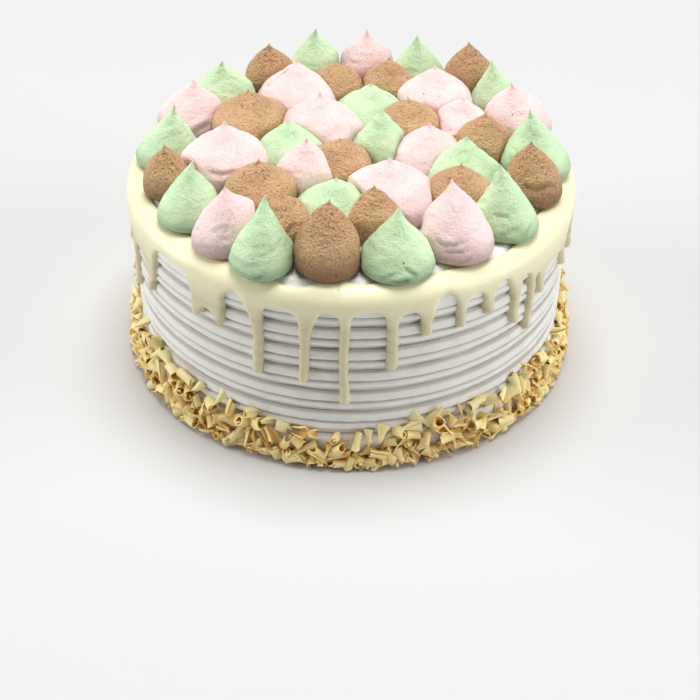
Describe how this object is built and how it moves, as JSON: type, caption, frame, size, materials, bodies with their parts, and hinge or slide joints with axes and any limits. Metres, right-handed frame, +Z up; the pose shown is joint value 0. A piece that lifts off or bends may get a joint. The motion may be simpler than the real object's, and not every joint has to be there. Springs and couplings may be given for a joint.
{
  "type": "gelato cake",
  "caption": "Round uncut gelato cake: combed white side, ivory ganache poured round the rim in drips, white chocolate curls pressed round the foot, and piped dollops covering the top.",
  "frame": {"origin": "centre of the flat round base, on the cake's axis", "axes": "+Z up along the cake's axis; -Y towards the front; +X to the right as seen from the front"},
  "size_m": [0.2265, 0.2242, 0.1282],
  "materials": {
    "whipped_frosting": "whipped white frosting, soft satin and slightly grainy, combed into ridges",
    "white_chocolate": "waxy cream coloured white chocolate, of the curls that are fused to the frosted cake round its foot",
    "ivory_ganache": "poured pale ivory ganache, set with a smooth satin skin",
    "mint_gelato": "piped pale mint green gelato cream, soft satin with small air pits",
    "pink_gelato": "piped pale pink gelato cream, soft satin with small air pits",
    "cocoa_gelato": "piped light brown cocoa gelato cream, soft satin and slightly grainy near the tips"
  },
  "bodies": {
    "root": {"frosted_cake": "whipped_frosting", "ganache_drip": "ivory_ganache", "dollop_mint_01": "mint_gelato", "dollop_mint_02": "mint_gelato", "dollop_mint_03": "mint_gelato", "dollop_mint_04": "mint_gelato", "dollop_mint_05": "mint_gelato", "dollop_mint_06": "mint_gelato", "dollop_mint_07": "mint_gelato", "dollop_mint_08": "mint_gelato", "dollop_mint_09": "mint_gelato", "dollop_mint_10": "mint_gelato", "dollop_mint_11": "mint_gelato", "dollop_mint_12": "mint_gelato", "dollop_mint_13": "mint_gelato", "dollop_mint_14": "mint_gelato", "dollop_mint_15": "mint_gelato", "dollop_pink_01": "pink_gelato", "dollop_pink_02": "pink_gelato", "dollop_pink_03": "pink_gelato", "dollop_pink_04": "pink_gelato", "dollop_pink_05": "pink_gelato", "dollop_pink_06": "pink_gelato", "dollop_pink_07": "pink_gelato", "dollop_pink_08": "pink_gelato", "dollop_pink_09": "pink_gelato", "dollop_pink_10": "pink_gelato", "dollop_pink_11": "pink_gelato", "dollop_pink_12": "pink_gelato", "dollop_pink_13": "pink_gelato", "dollop_cocoa_01": "cocoa_gelato", "dollop_cocoa_02": "cocoa_gelato", "dollop_cocoa_03": "cocoa_gelato", "dollop_cocoa_04": "cocoa_gelato", "dollop_cocoa_05": "cocoa_gelato", "dollop_cocoa_06": "cocoa_gelato", "dollop_cocoa_07": "cocoa_gelato", "dollop_cocoa_08": "cocoa_gelato", "dollop_cocoa_09": "cocoa_gelato", "dollop_cocoa_10": "cocoa_gelato", "dollop_cocoa_11": "cocoa_gelato", "dollop_cocoa_12": "cocoa_gelato", "dollop_cocoa_13": "cocoa_gelato", "dollop_cocoa_14": "cocoa_gelato", "dollop_cocoa_15": "cocoa_gelato"}
  },
  "joints": []
}
